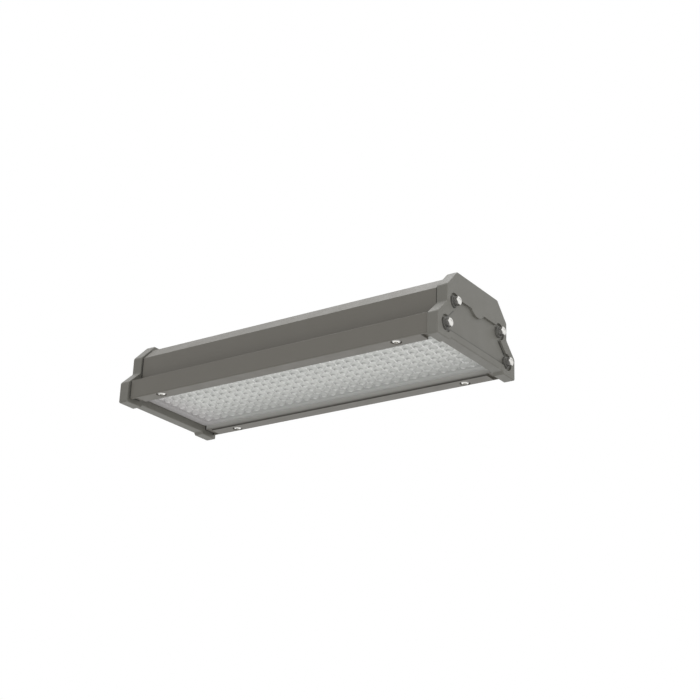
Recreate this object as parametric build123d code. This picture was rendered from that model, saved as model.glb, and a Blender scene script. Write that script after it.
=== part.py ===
from build123d import *
import os

# Linear LED high bay light. Millimetres, +Z up, lamp side down.
# X runs along the light, the origin is midway between the end caps at the level of their feet.
# Sections are drawn as (y, z) and drawn out along X.

# Overall sizes
overall_length = 400.0
cap_thickness = 12.0
cap_gasket_thickness = 1.5

# Stepped outline of an end cap, from the foot upwards on one side
cap_low_half_width = 74.0
cap_low_height = 22.5
cap_slope_width = 16.4
cap_slope_height = 15.3
cap_mid_height = 18.2
cap_shoulder_width = 18.6
cap_shoulder_height = 19.0
cap_convex_radius = 4.0
cap_top_radius = 2.0
cap_concave_radius = 3.0
cap_face_edge_radius = 1.2
cap_inner_edge_chamfer = 0.6
foot_corner_radius = 1.8

# Feet of an end cap, below the level of its underside
foot_height = 2.6
foot_length = 22.0
foot_ramp = 2.4

# Sunk panel on the outer face of an end cap, measured in from the cap's outline
panel_depth = 2.3
panel_low_rim = 14.5
panel_high_rim = 12.6
panel_bottom_rim = 9.6
panel_low_drop = 2.7
panel_high_drop = 4.4
panel_top_drop = 8.8
panel_arch_rise = 9.2
panel_arch_radius = 15.0
panel_corner_radius = 1.2

# Hollow on the inner side of an end cap, inside the face that the gasket seals
cap_face_wall = 5.0
cap_seal_width = 6.5
screw_boss_wall = 3.1

# Housing: a stepped aluminium extrusion a little inside the caps' outline and above their underside,
# with a ledge that starts this far above the cap's low corner where the caps have their slope
outline_inset = 2.0
low_side_inset = 3.2
top_drop = 5.8
housing_rise = 1.0
housing_wall = 2.5
housing_corner_radius = 1.2
ledge_lift = 1.7
ledge_rise = 5.8
ledge_corner_radius = 0.4
gasket_inset = 0.6

# Shelf between the lamp chamber and the upper compartment, and the flanges beside the chamber
shelf_bottom = 17.0
shelf_thickness = 4.0
flange_width = 16.6
chamber_step = 1.1
chamber_step_rise = 0.6
end_relief_length = 8.3
end_relief_depth = 2.4
end_relief_wall = 2.0

# Cap screws: their distances from the cap's side, foot and step, and the ports that take them
low_port_side = 15.7
low_port_height = 14.7
high_port_side = 14.4
high_port_rise = 4.4
port_boss_wall = 1.85
port_web_thickness = 2.5
cap_screw_radius = 2.5
cap_screw_engagement = 14.0
cap_screw_across_flats = 8.0
cap_screw_head_height = 3.5
spring_washer_radius = 4.3
spring_washer_thickness = 1.3
washer_radius = 6.0
washer_thickness = 2.5
washer_chamfer = 0.6
washer_pocket_clearance = 2.7

# Clearances shared by the fastenings
screw_clearance = 0.05
through_clearance = 0.4
head_clearance = 0.4
hex_chamfer = 0.6
head_rounding = 0.7

# Hanging inserts and their rib, and the cooling fins between them
insert_end_distance = 75.0
insert_radius = 6.0
insert_thread_radius = 3.4
insert_length = 11.0
insert_flange_width = 1.5
insert_flange_thickness = 1.0
insert_wall = 3.0
insert_floor = 1.0
fin_thickness = 1.8
fin_height = 3.0
fin_pitch = 6.0
fin_rib_gap = 4.1
fins_each_side = 4
fin_end_gap = 7.5

# Lens plate with one dome over each diode
lens_pitch = 11.4
lens_end_border = 10.0
lens_side_border = 7.5
lens_plate_end_gap = 0.5
lens_plate_side_gap = 0.5
lens_plate_thickness = 4.0
lens_field_thickness = 1.5
lens_field_margin = 1.2
dome_base_radius = 5.2
dome_crown_radius = 2.6
dome_height = 3.2
dome_root = 0.5
dome_sides = 8

# Diode boards on soft pads under the shelf, and the air gap below the diodes
board_thickness = 1.6
board_centre_gap = 0.6
board_margin = 0.6
pad_thickness = 0.4
pad_inset = 0.8
diode_side = 3.0
diode_height = 0.7
lens_air_gap = 0.3

# Seal between the lens plate and the shelf
seal_width = 3.0
seal_side_gap = 0.8
seal_end_gap = 1.5

# Button head screws in the flanges under the housing
flange_screw_end_distance = 52.0
flange_screw_edge = 6.6
flange_screw_radius = 2.5
flange_screw_head_radius = 5.2
flange_screw_crown_radius = 3.4
flange_screw_head_height = 3.3
flange_screw_rim = 0.8
flange_screw_length = 10.0
flange_screw_socket = 4.0
flange_screw_socket_depth = 2.0
flange_screw_proud = 0.3

# Terminal block in the upper compartment
terminal_end_distance = 50.0
terminal_length = 22.0
terminal_width = 30.0
terminal_height = 16.0
terminal_pitch = 8.0
terminal_way_radius = 2.0
terminal_way_depth = 8.0
terminal_way_height = 7.0
terminal_screw_edge = 4.0
terminal_screw_radius = 1.5
terminal_screw_head_radius = 2.6
terminal_screw_head_height = 2.0
terminal_screw_sink = 4.0
shelf_screw_depth = 3.0

# Driver in the upper compartment
driver_gap = 37.0
driver_length = 170.0
driver_top_gap = 2.5
driver_side_gap = 5.8
driver_corner_radius = 2.0
driver_end_thickness = 3.0
driver_ear_length = 11.0
driver_ear_thickness = 2.5
driver_screw_side = 9.0
driver_screw_radius = 2.0
driver_screw_head_radius = 3.5
driver_screw_head_height = 2.4

# Wires
wire_radius = 1.3
wire_bend = 4.0
wire_ear_gap = 3.0
driver_wire_height = 17.0
feed_bend = 8.0
feed_wire_gap = 0.4

# Feed block between the boards' ends and the seal, and the grommet above it
feed_block_gap = 0.1
feed_block_width = 12.0
grommet_wall = 1.6
grommet_flange = 1.2
grommet_flange_height = 1.2

# Earth lead from the terminal block to the shelf
earth_reach = 16.0
earth_height = 2.3
ring_thickness = 1.0
ring_radius = 4.5
ring_barrel_radius = 2.2
ring_barrel_length = 6.0
earth_screw_radius = 2.0
earth_screw_head_radius = 3.5
earth_screw_head_height = 2.6

# Cable gland on the top of the housing
top_fitting_y = 24.0
gland_end_distance = 45.0
gland_thread_radius = 8.0
gland_bore_radius = 5.2
gland_hex = 19.0
gland_hex_height = 5.0
gland_neck_radius = 7.4
gland_neck_height = 6.0
gland_nut_hex_height = 5.4
gland_nut_height = 9.0
gland_nut_mouth = 5.0
gland_nut_lip = 1.6
gland_seal_bore = 3.5
gland_washer_width = 2.5
gland_washer_thickness = 1.2
gland_inner_length = 9.0
locknut_thickness = 4.0
thread_clearance = 0.1

# Breather plug on the top of the housing
vent_end_distance = 45.0
vent_thread_radius = 6.0
vent_nut_hex = 16.0
vent_foot_radius = 7.5
vent_foot_height = 1.2
vent_cap_radius = 8.5
vent_cap_height = 3.8
vent_cap_rounding = 1.0
vent_slots = 6
vent_slot_width = 1.6
vent_slot_depth = 1.0
vent_slot_height = 1.4
vent_inner_length = 8.0

# How far a cut runs past the face it opens, and how near two corners count as one
cut_past = 1.0
same_place = 0.01

# Sizes that follow from the ones above
cap_outer_x = overall_length / 2
cap_inner_x = cap_outer_x - cap_thickness
cap_mid_half_width = cap_low_half_width - cap_slope_width
cap_top_half_width = cap_mid_half_width - cap_shoulder_width
cap_mid_bottom = cap_low_height + cap_slope_height
cap_mid_top = cap_mid_bottom + cap_mid_height
cap_height = cap_mid_top + cap_shoulder_height
panel_floor_x = cap_outer_x - panel_depth
cap_hole_radius = cap_screw_radius + through_clearance
housing_half_length = cap_inner_x - cap_gasket_thickness
housing_bottom = foot_height + housing_rise
housing_top = cap_height - top_drop
ceiling = housing_top - housing_wall
body_half_width = cap_low_half_width - low_side_inset
body_high_half_width = cap_mid_half_width - outline_inset
ledge_start = cap_low_height + ledge_lift
ledge_end = ledge_start + ledge_rise
shelf_top = shelf_bottom + shelf_thickness
chamber_half_width = body_half_width - flange_width
flange_inner_half_width = chamber_half_width + chamber_step
relief_outer = body_half_width - end_relief_wall
relief_top = housing_bottom + end_relief_depth
low_port_y = cap_low_half_width - low_port_side
high_port_y = cap_mid_half_width - high_port_side
high_port_z = cap_mid_bottom + high_port_rise
port_radius = cap_screw_radius + screw_clearance
board_top = shelf_bottom - pad_thickness
board_bottom = board_top - board_thickness
diode_bottom = board_bottom - diode_height
lens_plate_top = diode_bottom - lens_air_gap
lens_plate_bottom = lens_plate_top - lens_plate_thickness
lens_field_bottom = lens_plate_top - lens_field_thickness
chamber_step_height = lens_plate_bottom + chamber_step_rise
lens_plate_half_length = cap_inner_x - lens_plate_end_gap
lens_plate_half_width = chamber_half_width - lens_plate_side_gap
lens_columns = int(2 * (lens_plate_half_length - lens_end_border) / lens_pitch)
lens_rows = 2 * int((lens_plate_half_width - lens_side_border) / lens_pitch)
board_half_length = lens_columns * lens_pitch / 2 + board_margin
board_half_width = lens_rows * lens_pitch / 2 + board_margin
seal_half_length = housing_half_length - seal_end_gap
seal_half_width = lens_plate_half_width - seal_side_gap
insert_x = cap_outer_x - insert_end_distance
rib_half_width = insert_radius + insert_wall
rib_bottom = housing_top - insert_length - insert_floor
flange_screw_x = cap_outer_x - flange_screw_end_distance
flange_screw_y = body_half_width - flange_screw_edge
flange_screw_seat = housing_bottom + flange_screw_head_height - flange_screw_proud
terminal_x = terminal_end_distance + terminal_length / 2 - cap_outer_x
driver_start = terminal_x + terminal_length / 2 + driver_gap + driver_ear_length
driver_end = driver_start + driver_length
driver_top = rib_bottom - driver_top_gap
driver_half_width = high_port_y - port_radius - port_boss_wall - driver_side_gap
feed_start = board_half_length + feed_block_gap
feed_end = seal_half_length - seal_width - feed_block_gap
feed_x = (feed_start + feed_end) / 2
feed_wire_y = wire_radius + feed_wire_gap / 2
grommet_radius = feed_wire_y + wire_radius + grommet_wall
earth_screw_y = (terminal_width / 2 + earth_reach + ring_barrel_length + earth_screw_head_radius
                 + head_clearance)
gland_x = gland_end_distance - cap_outer_x
gland_base = housing_top + gland_washer_thickness
gland_neck_bottom = gland_base + gland_hex_height
gland_neck_top = gland_neck_bottom + gland_neck_height
vent_x = cap_outer_x - vent_end_distance


def both_sides(points):
    """Points and their mirror images across the middle, in order along an outline."""
    return points + [(-y, z) for y, z in reversed(points)]


def outline(points):
    """Closed face with the given corners."""
    return make_face(Polyline(*points, close=True))


def rounded(face, points, radius):
    """Face with its corners at the given points rounded."""
    chosen = [v for v in face.vertices()
              if any(abs(v.X - y) < same_place and abs(v.Y - z) < same_place for y, z in points)]
    return fillet(chosen, radius)


def shrunk(face, distance):
    """Face with its edge moved in by a distance, corners kept."""
    return offset(face, amount=-distance, kind=Kind.INTERSECTION)


def window(y, z):
    """Rectangle between two values of y and two of z."""
    return Pos((y[0] + y[1]) / 2, (z[0] + z[1]) / 2) * Rectangle(abs(y[1] - y[0]), abs(z[1] - z[0]))


def run(section, start, end):
    """Section drawn out along X from start to end."""
    return Pos(start, 0, 0) * extrude(Plane.YZ * section, end - start)


def block(x, y, z):
    """Box between two values of x, of y and of z."""
    sides = [abs(pair[1] - pair[0]) for pair in (x, y, z)]
    middle = [(pair[0] + pair[1]) / 2 for pair in (x, y, z)]
    return Pos(*middle) * Box(*sides)


def upright(radius, bottom, top, x=0.0, y=0.0):
    """Upright cylinder between two heights."""
    return Pos(x, y, (bottom + top) / 2) * Cylinder(radius, top - bottom)


def lengthwise(radius, start, end, y, z):
    """Cylinder along X between two values of x."""
    return Pos((start + end) / 2, y, z) * Rot(0, 90, 0) * Cylinder(radius, abs(end - start))


def crosswise(radius, start, end, x, z):
    """Cylinder along Y between two values of y."""
    return Pos(x, (start + end) / 2, z) * Rot(90, 0, 0) * Cylinder(radius, end - start)


def cone(low_radius, high_radius, bottom, top, x, y):
    """Upright cone frustum between two heights."""
    return Pos(x, y, (bottom + top) / 2) * Cone(low_radius, high_radius, top - bottom)


def hexagon(across_flats):
    """Hexagon face centred on the origin."""
    return RegularPolygon(across_flats / 2, 6, major_radius=False)


def other_end(shape):
    """The same piece at the -X end, turned half round."""
    return Rot(0, 0, 180) * shape


def cap_steps():
    """Corners of the cap's outline above its feet, on the +Y side."""
    return [(cap_low_half_width, cap_low_height), (cap_mid_half_width, cap_mid_bottom),
            (cap_mid_half_width, cap_mid_top), (cap_top_half_width, cap_height)]


def footless_outline():
    """Cap outline with a straight underside at the level of the feet."""
    return outline(both_sides([(cap_low_half_width, 0.0)] + cap_steps()))


def cap_outline():
    """Cap outline with its two feet and rounded corners."""
    foot_inner = cap_low_half_width - foot_length
    sole = [(foot_inner - foot_ramp, foot_height), (foot_inner, 0.0), (cap_low_half_width, 0.0)]
    face = outline(both_sides(sole + cap_steps()))
    low, step, high, top = cap_steps()
    face = rounded(face, both_sides([low, high]), cap_convex_radius)
    face = rounded(face, both_sides([sole[2]]), foot_corner_radius)
    face = rounded(face, both_sides([top]), cap_top_radius)
    return rounded(face, both_sides([step]), cap_concave_radius)


def ports():
    """Centres of the four cap screws, as (y, z)."""
    return both_sides([(low_port_y, low_port_height), (high_port_y, high_port_z)])


def discs(radius):
    """Discs round the four cap screws."""
    return [Pos(y, z) * Circle(radius) for y, z in ports()]


def panel_outline():
    """Sunk panel of the cap's face: stepped like the cap, arched round the bare boss above it."""
    panel_top = cap_mid_top - panel_top_drop
    side = [(cap_low_half_width - panel_low_rim, panel_bottom_rim),
            (cap_low_half_width - panel_low_rim, cap_low_height - panel_low_drop),
            (cap_mid_half_width - panel_high_rim, cap_mid_bottom - panel_high_drop),
            (cap_mid_half_width - panel_high_rim, panel_top)]
    corners = both_sides(side)
    panel = rounded(outline(corners), corners, panel_corner_radius)
    panel -= Pos(0, panel_top + panel_arch_rise) * Circle(panel_arch_radius)
    return panel + discs(washer_radius + washer_pocket_clearance)


def upper_part(face):
    """The part of a face that lies above the shelf."""
    return face & window((-cap_low_half_width, cap_low_half_width), (shelf_top, cap_height))


def cap_hollow_outline():
    """Opening of the cap's hollow, clear of the bosses round the screws."""
    hollow = upper_part(shrunk(housing_outline(), cap_seal_width))
    return hollow - discs(cap_hole_radius + screw_boss_wall)


def end_cap():
    """Die-cast end cap at the +X end, with its sunk panel outside and its hollow inside."""
    cap = run(cap_outline(), cap_inner_x, cap_outer_x)
    cap = fillet(cap.faces().sort_by(Axis.X)[-1].edges(), cap_face_edge_radius)
    cap = chamfer(cap.faces().sort_by(Axis.X)[0].edges(), cap_inner_edge_chamfer)
    cap -= run(panel_outline(), panel_floor_x, cap_outer_x + cut_past)
    cap -= run(cap_hollow_outline(), cap_inner_x - cut_past, panel_floor_x - cap_face_wall)
    for y, z in ports():
        cap -= lengthwise(cap_hole_radius, cap_inner_x - cut_past, cap_outer_x + cut_past, y, z)
    return cap


def above_ledge(side):
    """What lies above the housing's ledge and outside its high wall, on one side."""
    over = cap_mid_top - outline_inset
    return outline([(side * cap_low_half_width, ledge_start), (side * body_half_width, ledge_start),
                    (side * body_high_half_width, ledge_end), (side * body_high_half_width, over),
                    (side * cap_low_half_width, over)])


def housing_outline():
    """Outline of the extrusion: the cap's outline moved in, cut off at its sides, top and bottom, with a ledge."""
    face = window((-body_half_width, body_half_width), (housing_bottom, cap_mid_bottom))
    face += shrunk(footless_outline(), outline_inset)
    face &= window((-body_half_width, body_half_width), (housing_bottom, housing_top))
    face -= [above_ledge(side) for side in (-1, 1)]
    corners = face.vertices().filter_by(lambda v: abs(v.Y - ledge_start) > same_place)
    face = fillet(corners, housing_corner_radius)
    return rounded(face, both_sides([(body_half_width, ledge_start)]), ledge_corner_radius)


def chamber_opening(top):
    """Lamp chamber between the flanges, from below the housing up to a height."""
    return outline(both_sides([(flange_inner_half_width, 0.0), (flange_inner_half_width, chamber_step_height),
                               (chamber_half_width, chamber_step_height), (chamber_half_width, top)]))


def relief_openings():
    """Sunk places in the two flanges' undersides at their ends, open to the chamber."""
    inner = flange_inner_half_width - cut_past
    return [window((side * inner, side * relief_outer), (0.0, relief_top)) for side in (-1, 1)]


def compartment_outline():
    """Upper compartment: inside the wall, less the hanging rib, the high ports and their webs."""
    hollow = upper_part(shrunk(housing_outline(), housing_wall))
    hollow -= window((-rib_half_width, rib_half_width), (rib_bottom, cap_height))
    web_end = body_high_half_width
    web = (high_port_z - port_web_thickness / 2, high_port_z + port_web_thickness / 2)
    for side in (-1, 1):
        hollow -= Pos(side * high_port_y, high_port_z) * Circle(port_radius + port_boss_wall)
        hollow -= window((side * high_port_y, side * web_end), web)
    return hollow


def driver_screw_places():
    """Places of the driver's screws, in the middle of its ears."""
    y = driver_half_width - driver_screw_side
    ends = (driver_start - driver_ear_length / 2, driver_end + driver_ear_length / 2)
    return [(x, side * y) for x in ends for side in (-1, 1)]


def terminal_screw_places():
    """Places of the terminal block's two screws."""
    return [(terminal_x, side * (terminal_width / 2 - terminal_screw_edge)) for side in (-1, 1)]


def flange_screw_places():
    """Places of the four screws in the flanges."""
    return [(end * flange_screw_x, side * flange_screw_y) for end in (-1, 1) for side in (-1, 1)]


def fins():
    """Low cooling fins on the housing's top, on both sides of the hanging rib."""
    half_length = insert_x - insert_radius - insert_flange_width - fin_end_gap
    made = []
    for i in range(fins_each_side):
        inner = rib_half_width + fin_rib_gap + i * fin_pitch
        for side in (-1, 1):
            made.append(block((-half_length, half_length), (side * inner, side * (inner + fin_thickness)),
                              (ceiling, housing_top + fin_height)))
    return made


def shelf_holes():
    """Threaded holes in the shelf for the screws of what stands on it."""
    bottom = shelf_top - shelf_screw_depth
    top = shelf_top + cut_past
    holes = [upright(driver_screw_radius + screw_clearance, bottom, top, x, y) for x, y in driver_screw_places()]
    holes += [upright(terminal_screw_radius + screw_clearance, bottom, top, x, y)
              for x, y in terminal_screw_places()]
    holes.append(upright(earth_screw_radius + screw_clearance, bottom, top, terminal_x, earth_screw_y))
    return holes


def flange_pockets():
    """Sunk seats and threaded holes of the screws in the flanges."""
    cuts = []
    for x, y in flange_screw_places():
        cuts.append(upright(flange_screw_head_radius + head_clearance, 0.0, flange_screw_seat, x, y))
        cuts.append(upright(flange_screw_radius + screw_clearance, 0.0,
                            flange_screw_seat + flange_screw_length, x, y))
    return cuts


def end_reliefs():
    """Milled ends of the flanges' undersides."""
    start = housing_half_length - end_relief_length
    end = housing_half_length + cut_past
    cuts = []
    for face in relief_openings():
        cuts.append(run(face, start, end))
        cuts.append(run(face, -end, -start))
    return cuts


def top_holes():
    """Holes in the housing's top for the inserts, the gland and the breather."""
    over = housing_top + cut_past
    cuts = [upright(insert_radius, housing_top - insert_length, over, side * insert_x) for side in (-1, 1)]
    under = ceiling - cut_past
    cuts.append(upright(gland_thread_radius + thread_clearance, under, over, gland_x, top_fitting_y))
    cuts.append(upright(vent_thread_radius + thread_clearance, under, over, vent_x, top_fitting_y))
    return cuts


def housing():
    """Extruded aluminium body, with its milled reliefs, pockets and holes."""
    section = housing_outline() - compartment_outline() - chamber_opening(shelf_bottom)
    section -= discs(port_radius)
    body = run(section, -housing_half_length, housing_half_length)
    body += fins()
    body -= end_reliefs() + flange_pockets() + top_holes() + shelf_holes()
    return body - upright(grommet_radius, shelf_bottom - cut_past, shelf_top + cut_past, feed_x)


def cap_gasket():
    """Flat rubber gasket between the housing's end and the cap, open where they are."""
    sheet = shrunk(housing_outline(), gasket_inset) - chamber_opening(lens_plate_top + lens_plate_end_gap)
    sheet -= relief_openings() + discs(cap_hole_radius)
    return run(sheet - cap_hollow_outline(), housing_half_length, cap_inner_x)


def cap_screws():
    """Hexagon head screws that hold one cap, each with the spring washer under its head."""
    seat = panel_floor_x + washer_thickness
    head_seat = seat + spring_washer_thickness
    screws = []
    for y, z in ports():
        head = run(Pos(y, z) * hexagon(cap_screw_across_flats), head_seat, head_seat + cap_screw_head_height)
        head = chamfer(head.faces().sort_by(Axis.X)[-1].edges(), hex_chamfer)
        head += lengthwise(spring_washer_radius, seat, head_seat, y, z)
        screws.append(head + lengthwise(cap_screw_radius, housing_half_length - cap_screw_engagement, seat, y, z))
    return screws


def cap_washers():
    """Sealing washers under the heads of one cap's screws."""
    top = panel_floor_x + washer_thickness
    washers = []
    for y, z in ports():
        ring = lengthwise(washer_radius, panel_floor_x, top, y, z)
        ring = chamfer(ring.faces().sort_by(Axis.X)[-1].edges(), washer_chamfer)
        washers.append(ring - lengthwise(port_radius, panel_floor_x, top, y, z))
    return washers


def lens_centres():
    """Places of the domes and of the diodes behind them."""
    return [((i - (lens_columns - 1) / 2) * lens_pitch, (j - (lens_rows - 1) / 2) * lens_pitch)
            for j in range(lens_rows) for i in range(lens_columns)]


def lens_dome():
    """One faceted dome of the lens plate, rooted in the plate."""
    shoulder = Plane.XY.offset(lens_field_bottom) * RegularPolygon(dome_base_radius, dome_sides)
    crown = Plane.XY.offset(lens_field_bottom - dome_height) * RegularPolygon(dome_crown_radius, dome_sides)
    return loft([shoulder, crown]) + extrude(shoulder, dome_root)


def lens_plate():
    """Clear moulded plate with a thicker border and one dome for each diode, facing down."""
    plate = block((-lens_plate_half_length, lens_plate_half_length),
                  (-lens_plate_half_width, lens_plate_half_width), (lens_plate_bottom, lens_plate_top))
    field_x = lens_columns * lens_pitch / 2 + lens_field_margin
    field_y = lens_rows * lens_pitch / 2 + lens_field_margin
    plate -= block((-field_x, field_x), (-field_y, field_y), (0.0, lens_field_bottom))
    dome = lens_dome()
    return plate.fuse(*[Pos(x, y, 0) * dome for x, y in lens_centres()])


def lens_seal():
    """Rubber frame pressed between the lens plate's border and the shelf."""
    x = seal_half_length
    y = seal_half_width
    frame = block((-x, x), (-y, y), (lens_plate_top, shelf_bottom))
    return frame - block((seal_width - x, x - seal_width), (seal_width - y, y - seal_width),
                         (lens_plate_top, shelf_bottom))


def diode_board(side):
    """Board that carries the diodes of one half of the light."""
    return block((-board_half_length, board_half_length),
                 (side * board_centre_gap / 2, side * board_half_width), (board_bottom, board_top))


def thermal_pad(side):
    """Soft heat conducting sheet between a diode board and the shelf."""
    return block((pad_inset - board_half_length, board_half_length - pad_inset),
                 (side * (board_centre_gap / 2 + pad_inset), side * (board_half_width - pad_inset)),
                 (board_top, shelf_bottom))


def diodes():
    """Light emitting diodes, one over each dome of the lens plate."""
    half = diode_side / 2
    return [block((x - half, x + half), (y - half, y + half), (diode_bottom, board_bottom))
            for x, y in lens_centres()]


def flange_screws():
    """Button head screws in the flanges, heads down in their seats."""
    rim = flange_screw_seat - flange_screw_rim
    crown = flange_screw_seat - flange_screw_head_height
    screws = []
    for x, y in flange_screw_places():
        screw = upright(flange_screw_head_radius, rim, flange_screw_seat, x, y)
        screw += cone(flange_screw_crown_radius, flange_screw_head_radius, crown, rim, x, y)
        screw += upright(flange_screw_radius, rim, flange_screw_seat + flange_screw_length, x, y)
        screws.append(screw - Pos(x, y, crown) * extrude(hexagon(flange_screw_socket), flange_screw_socket_depth))
    return screws


def driver_case():
    """Extruded case of the driver, between its end plates."""
    section = Pos(0, (shelf_top + driver_top) / 2) * RectangleRounded(
        2 * driver_half_width, driver_top - shelf_top, driver_corner_radius)
    return run(section, driver_start + driver_end_thickness, driver_end - driver_end_thickness)


def driver_end_plates():
    """End plates of the driver, with the ears that fix it to the shelf."""
    plates = []
    for outer, inward in ((driver_start, 1), (driver_end, -1)):
        inner = outer + inward * driver_end_thickness
        ear_end = outer - inward * driver_ear_length
        across = (-driver_half_width, driver_half_width)
        plate = block((inner, outer), across, (shelf_top, driver_top))
        plates.append(plate + block((outer, ear_end), across, (shelf_top, shelf_top + driver_ear_thickness)))
    holes = [upright(driver_screw_radius + through_clearance, shelf_top, shelf_top + driver_ear_thickness, x, y)
             for x, y in driver_screw_places()]
    return [plate - holes for plate in plates]


def pan_screw(x, y, seat, tip, radius, head_radius, head_height):
    """Upright pan head screw from its tip to the head that rests on the seat."""
    head = upright(head_radius, seat, seat + head_height, x, y)
    head = fillet(head.faces().sort_by(Axis.Z)[-1].edges(), head_rounding)
    return head + upright(radius, tip, seat, x, y)


def driver_screws():
    """Screws through the driver's ears into the shelf."""
    return [pan_screw(x, y, shelf_top + driver_ear_thickness, shelf_top - shelf_screw_depth,
                      driver_screw_radius, driver_screw_head_radius, driver_screw_head_height)
            for x, y in driver_screw_places()]


def terminal_block():
    """Supply terminal block on the shelf, with wire ways in two sides and sunk fixing screws."""
    top = shelf_top + terminal_height
    half = terminal_length / 2
    body = block((terminal_x - half, terminal_x + half), (-terminal_width / 2, terminal_width / 2),
                 (shelf_top, top))
    for k in (-1, 0, 1):
        for side in (-1, 1):
            face = terminal_x + side * half
            body -= lengthwise(terminal_way_radius, face - side * terminal_way_depth, face,
                               k * terminal_pitch, shelf_top + terminal_way_height)
    for x, y in terminal_screw_places():
        body -= upright(terminal_screw_radius + through_clearance, shelf_top, top, x, y)
        body -= upright(terminal_screw_head_radius + head_clearance, top - terminal_screw_sink, top, x, y)
    return body


def terminal_screws():
    """Screws that hold the terminal block to the shelf."""
    return [pan_screw(x, y, shelf_top + terminal_height - terminal_screw_sink, shelf_top - shelf_screw_depth,
                      terminal_screw_radius, terminal_screw_head_radius, terminal_screw_head_height)
            for x, y in terminal_screw_places()]


def wire(points, bend):
    """Round wire along straight runs joined by arcs."""
    path = FilletPolyline(*points, radius=bend)
    first = path.edges()[0]
    return sweep(Plane(first @ 0, z_dir=first % 0) * Circle(wire_radius), path=path)


def supply_wires():
    """Wires from the driver to the terminal block."""
    high = shelf_top + driver_wire_height
    low = shelf_top + terminal_way_height
    drop = driver_start - driver_ear_length - wire_ear_gap
    inside = terminal_x + terminal_length / 2 - terminal_way_depth
    return [wire([(driver_start, y, high), (drop, y, high), (drop, y, low), (inside, y, low)], wire_bend)
            for y in (-terminal_pitch, 0.0, terminal_pitch)]


def feed_wires():
    """Wires from the driver through the shelf to the feed block."""
    high = shelf_top + driver_wire_height
    return [wire([(driver_end, y, high), (feed_x, y, high), (feed_x, y, shelf_bottom)], feed_bend)
            for y in (-feed_wire_y, feed_wire_y)]


def feed_block():
    """Small connector between the ends of the diode boards and the feed wires."""
    return block((feed_start, feed_end), (-feed_block_width / 2, feed_block_width / 2),
                 (diode_bottom, shelf_bottom))


def shelf_grommet():
    """Rubber grommet that lines the feed wires' hole in the shelf."""
    top = shelf_top + grommet_flange_height
    ring = upright(grommet_radius, shelf_bottom, top, feed_x)
    ring += upright(grommet_radius + grommet_flange, shelf_top, top, feed_x)
    holes = [upright(wire_radius + screw_clearance, shelf_bottom, top, feed_x, y)
             for y in (-feed_wire_y, feed_wire_y)]
    return ring - holes


def earth_lead():
    """Earth wire from the terminal block's side to the ring terminal."""
    start = terminal_width / 2
    return crosswise(wire_radius, start, start + earth_reach, terminal_x, shelf_top + earth_height)


def ring_terminal():
    """Crimped ring terminal on the earth wire, flat on the shelf."""
    start = terminal_width / 2 + earth_reach
    plate_top = shelf_top + ring_thickness
    ring = upright(ring_radius, shelf_top, plate_top, terminal_x, earth_screw_y)
    ring += block((terminal_x - ring_barrel_radius, terminal_x + ring_barrel_radius), (start, earth_screw_y),
                  (shelf_top, plate_top))
    ring += crosswise(ring_barrel_radius, start, start + ring_barrel_length, terminal_x, shelf_top + earth_height)
    return ring - upright(earth_screw_radius + screw_clearance, shelf_top, plate_top, terminal_x, earth_screw_y)


def earth_screw():
    """Screw that earths the housing."""
    return pan_screw(terminal_x, earth_screw_y, shelf_top + ring_thickness, shelf_top - shelf_screw_depth,
                     earth_screw_radius, earth_screw_head_radius, earth_screw_head_height)


def hexagon_body(x, bottom, across_flats, height):
    """Hexagon body on the line of the top fittings, with its upper edges broken."""
    body = Pos(x, top_fitting_y, bottom) * extrude(hexagon(across_flats), height)
    return chamfer(body.faces().sort_by(Axis.Z)[-1].edges(), hex_chamfer)


def round_body(x, radius, bottom, top):
    """Upright cylinder on the line of the top fittings."""
    return upright(radius, bottom, top, x, top_fitting_y)


def locknut(x, thread_radius, across_flats):
    """Hexagon locknut under the housing's top wall."""
    bottom = ceiling - locknut_thickness
    nut = hexagon_body(x, bottom, across_flats, locknut_thickness)
    return nut - round_body(x, thread_radius + screw_clearance, bottom, ceiling)


def gland_washer():
    """Flat seal under the cable gland."""
    ring = round_body(gland_x, gland_thread_radius + gland_washer_width, housing_top, gland_base)
    return ring - round_body(gland_x, gland_thread_radius + screw_clearance, housing_top, gland_base)


def gland_body():
    """Body of the cable gland: hexagon, neck above it and threaded shank through the wall."""
    bottom = ceiling - gland_inner_length
    body = hexagon_body(gland_x, gland_base, gland_hex, gland_hex_height)
    body += round_body(gland_x, gland_neck_radius, gland_neck_bottom, gland_neck_top)
    body += round_body(gland_x, gland_thread_radius, bottom, gland_base)
    return body - round_body(gland_x, gland_bore_radius, bottom, gland_neck_top)


def gland_nut():
    """Domed compression nut of the cable gland."""
    shoulder = gland_neck_bottom + gland_nut_hex_height
    top = gland_neck_bottom + gland_nut_height
    nut = hexagon_body(gland_x, gland_neck_bottom, gland_hex, gland_nut_hex_height)
    nut += cone(gland_hex / 2 - hex_chamfer, gland_nut_mouth + gland_nut_lip, shoulder, top, gland_x, top_fitting_y)
    nut -= round_body(gland_x, gland_neck_radius + screw_clearance, gland_neck_bottom, gland_neck_top)
    return nut - round_body(gland_x, gland_nut_mouth, gland_neck_bottom, top)


def gland_seal():
    """Rubber seal that grips the supply cable inside the gland."""
    ring = round_body(gland_x, gland_bore_radius - screw_clearance, gland_neck_bottom, gland_neck_top)
    return ring - round_body(gland_x, gland_seal_bore, gland_neck_bottom, gland_neck_top)


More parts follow.
